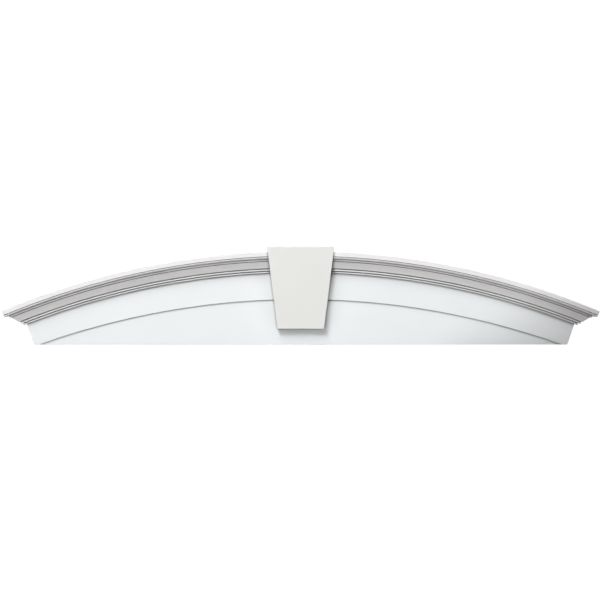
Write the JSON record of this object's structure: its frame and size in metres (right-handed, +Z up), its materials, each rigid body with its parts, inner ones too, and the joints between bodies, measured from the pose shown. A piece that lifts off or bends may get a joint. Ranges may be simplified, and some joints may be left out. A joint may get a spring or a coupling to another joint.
{
  "type": "arched crosshead",
  "caption": "White segmental-arched door crosshead: an arched frieze over a set-back panel, a stepped crown moulding returned at both ends, and a tapered keystone.",
  "frame": {"origin": "the middle of the back panel's flat back, on the centre line and halfway between the underside and the crown's top", "axes": "+X along the crosshead to the viewer's right, +Y into the wall, +Z up; the moulded face looks along -Y"},
  "size_m": [2.0394, 0.1074, 0.3337],
  "materials": {
    "panel": "smooth satin white cellular PVC, painted",
    "crown": "smooth satin white moulded plastic, painted",
    "keystone": "matt, slightly warm white primed plastic"
  },
  "bodies": {
    "root": {"back_panel": "panel", "arched_frieze": "panel", "crown_moulding": "crown", "keystone": "keystone"}
  },
  "joints": []
}
